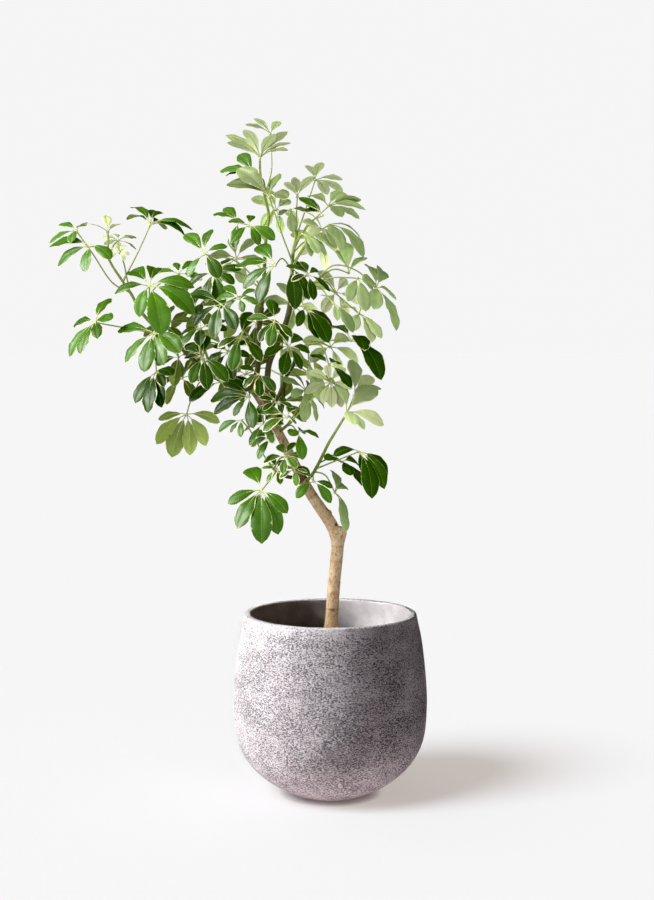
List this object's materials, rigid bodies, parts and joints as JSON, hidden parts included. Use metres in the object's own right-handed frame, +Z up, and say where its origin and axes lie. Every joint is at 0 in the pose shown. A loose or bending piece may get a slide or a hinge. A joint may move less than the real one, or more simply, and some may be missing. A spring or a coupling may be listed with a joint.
{
  "type": "potted umbrella plant",
  "caption": "Bushy umbrella plant with a crooked woody trunk and whorled variegated leaves, standing in a deep-bellied round stone planter.",
  "frame": {"origin": "centre of the planter's flat foot, on the floor it stands on", "axes": "+Z up along the planter's axis, +X to the right as the picture shows it, +Y away from the viewer"},
  "size_m": [0.6656, 0.3893, 1.2014],
  "materials": {
    "pot_stone": "matt grey-mauve stone with dense dark pits in faint level streaks and a smoother inside",
    "soil": "dark crumbly bark and peat potting soil",
    "bark": "tan ringed bark with small pores and old leaf scars",
    "leaf_dark": "glossy dark green leaflets with irregular cream margins and pale undersides",
    "leaf_mid": "satin mid green leaflets with cream margins",
    "leaf_pale": "satin pale yellow-green young leaflets"
  },
  "bodies": {
    "root": {"pot": "pot_stone", "soil": "soil", "trunk": "bark", "shoot_far_left": "leaf_dark", "spray_left_inner": "leaf_dark", "leader_left": "leaf_pale", "leader_right": "leaf_pale", "spray_upper_right": "leaf_mid", "spray_right_middle": "leaf_dark", "shoot_lower_right": "leaf_pale", "spray_low_left": "leaf_dark", "spray_fork": "leaf_dark", "spray_lower_centre": "leaf_dark", "spray_centre": "leaf_dark", "spray_right_limb": "leaf_dark", "spray_behind_trunk": "leaf_mid", "spray_behind_left": "leaf_mid"}
  },
  "joints": []
}
